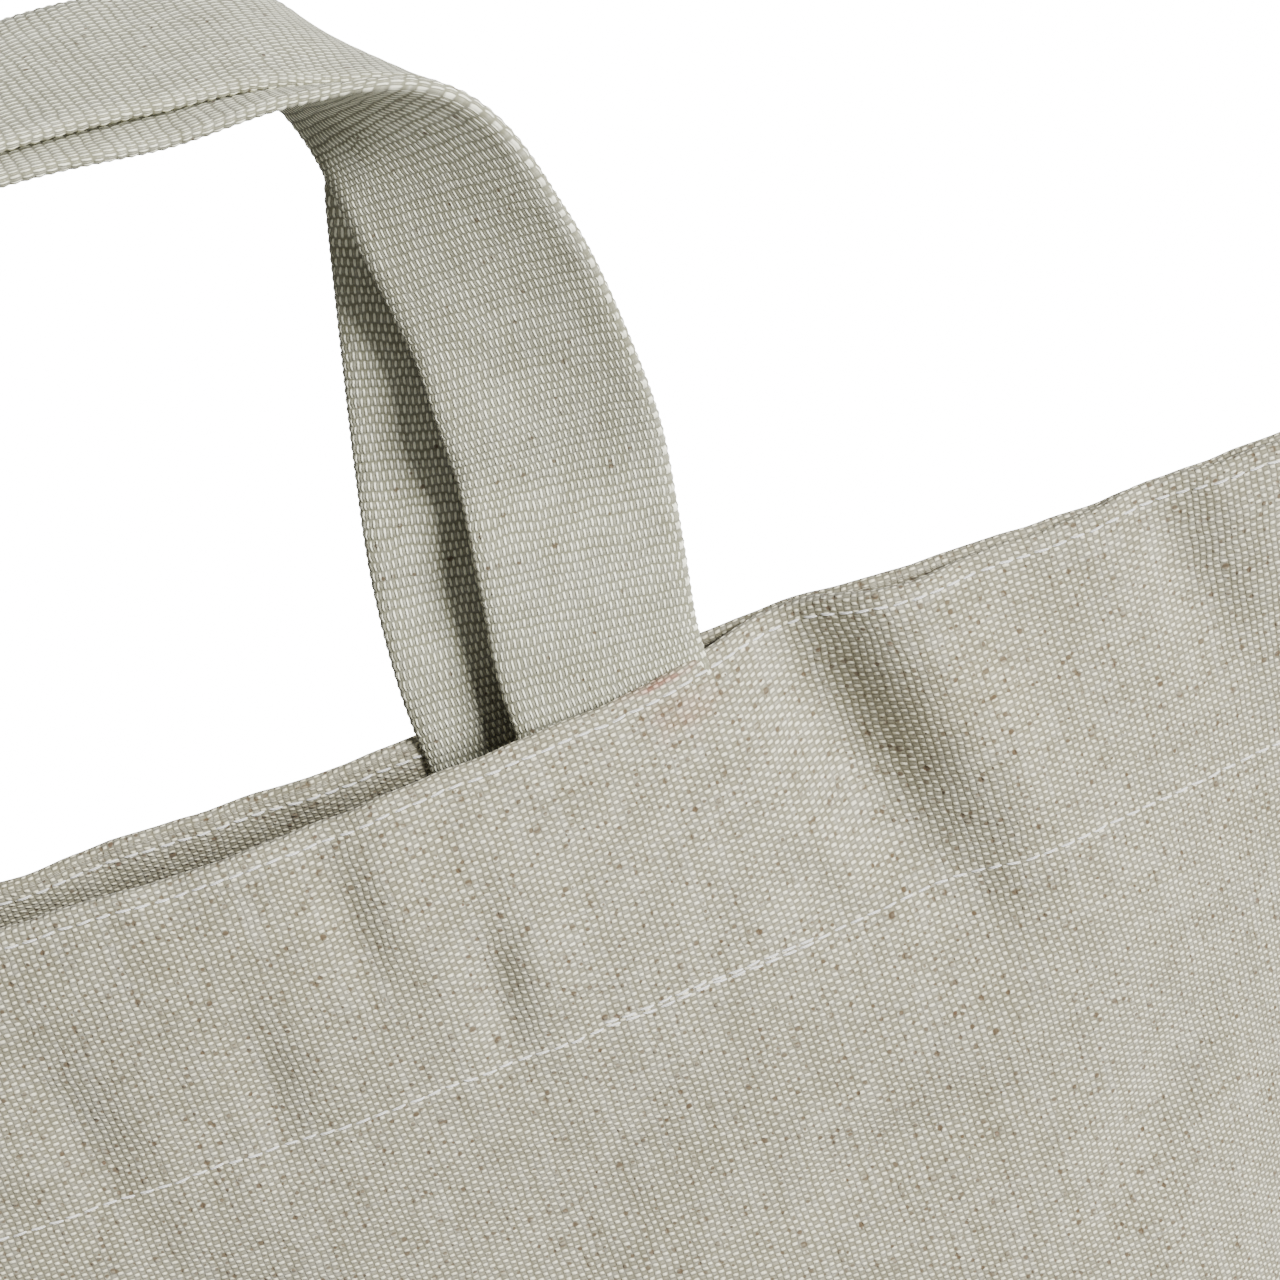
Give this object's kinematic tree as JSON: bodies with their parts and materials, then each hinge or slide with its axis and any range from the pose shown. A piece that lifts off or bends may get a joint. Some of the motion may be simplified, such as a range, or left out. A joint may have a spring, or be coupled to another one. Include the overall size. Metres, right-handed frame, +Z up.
{
  "type": "tote bag",
  "caption": "Soft open tote bag in natural cotton canvas with a deep turned hem, a boxed base and twin flat webbing carrying handles sewn inside the mouth.",
  "frame": {"origin": "centre of the base, on the floor", "axes": "+X along the mouth to the bag's right-hand side seen from the front, -Y out of the front panel, +Z up"},
  "size_m": [0.438, 0.1202, 0.5122],
  "materials": {
    "canvas": "unbleached plain-weave cotton duck, matt, with dark seed flecks",
    "webbing": "natural ribbed cotton webbing, matt",
    "thread": "white sewing thread, slight sheen"
  },
  "bodies": {
    "bag": {"front_panel": "canvas", "back_panel": "canvas", "bottom_panel": "canvas", "base_seam": "thread", "side_seam_left": "thread", "side_seam_right": "thread", "front_rim_stitch": "thread", "back_rim_stitch": "thread", "front_hem_stitch": "thread", "back_hem_stitch": "thread", "front_webbing_end_left": "webbing", "front_webbing_end_right": "webbing", "back_webbing_end_left": "webbing", "back_webbing_end_right": "webbing", "front_end_stitch_left": "thread", "front_end_stitch_right": "thread", "back_end_stitch_left": "thread", "back_end_stitch_right": "thread"},
    "front_loop": {"front_handle": "webbing"},
    "back_loop": {"back_handle": "webbing"}
  },
  "joints": [
    {"name": "front_handle_swing", "type": "hinge", "parent": "bag", "child": "front_loop", "pos_m": [0, -0.00452, 0.3825], "axis": [1, 0, 0], "range_deg": [0, 95]},
    {"name": "back_handle_swing", "type": "hinge", "parent": "bag", "child": "back_loop", "pos_m": [0, 0.00528, 0.3825], "axis": [1, 0, 0], "range_deg": [-95, 0]}
  ]
}
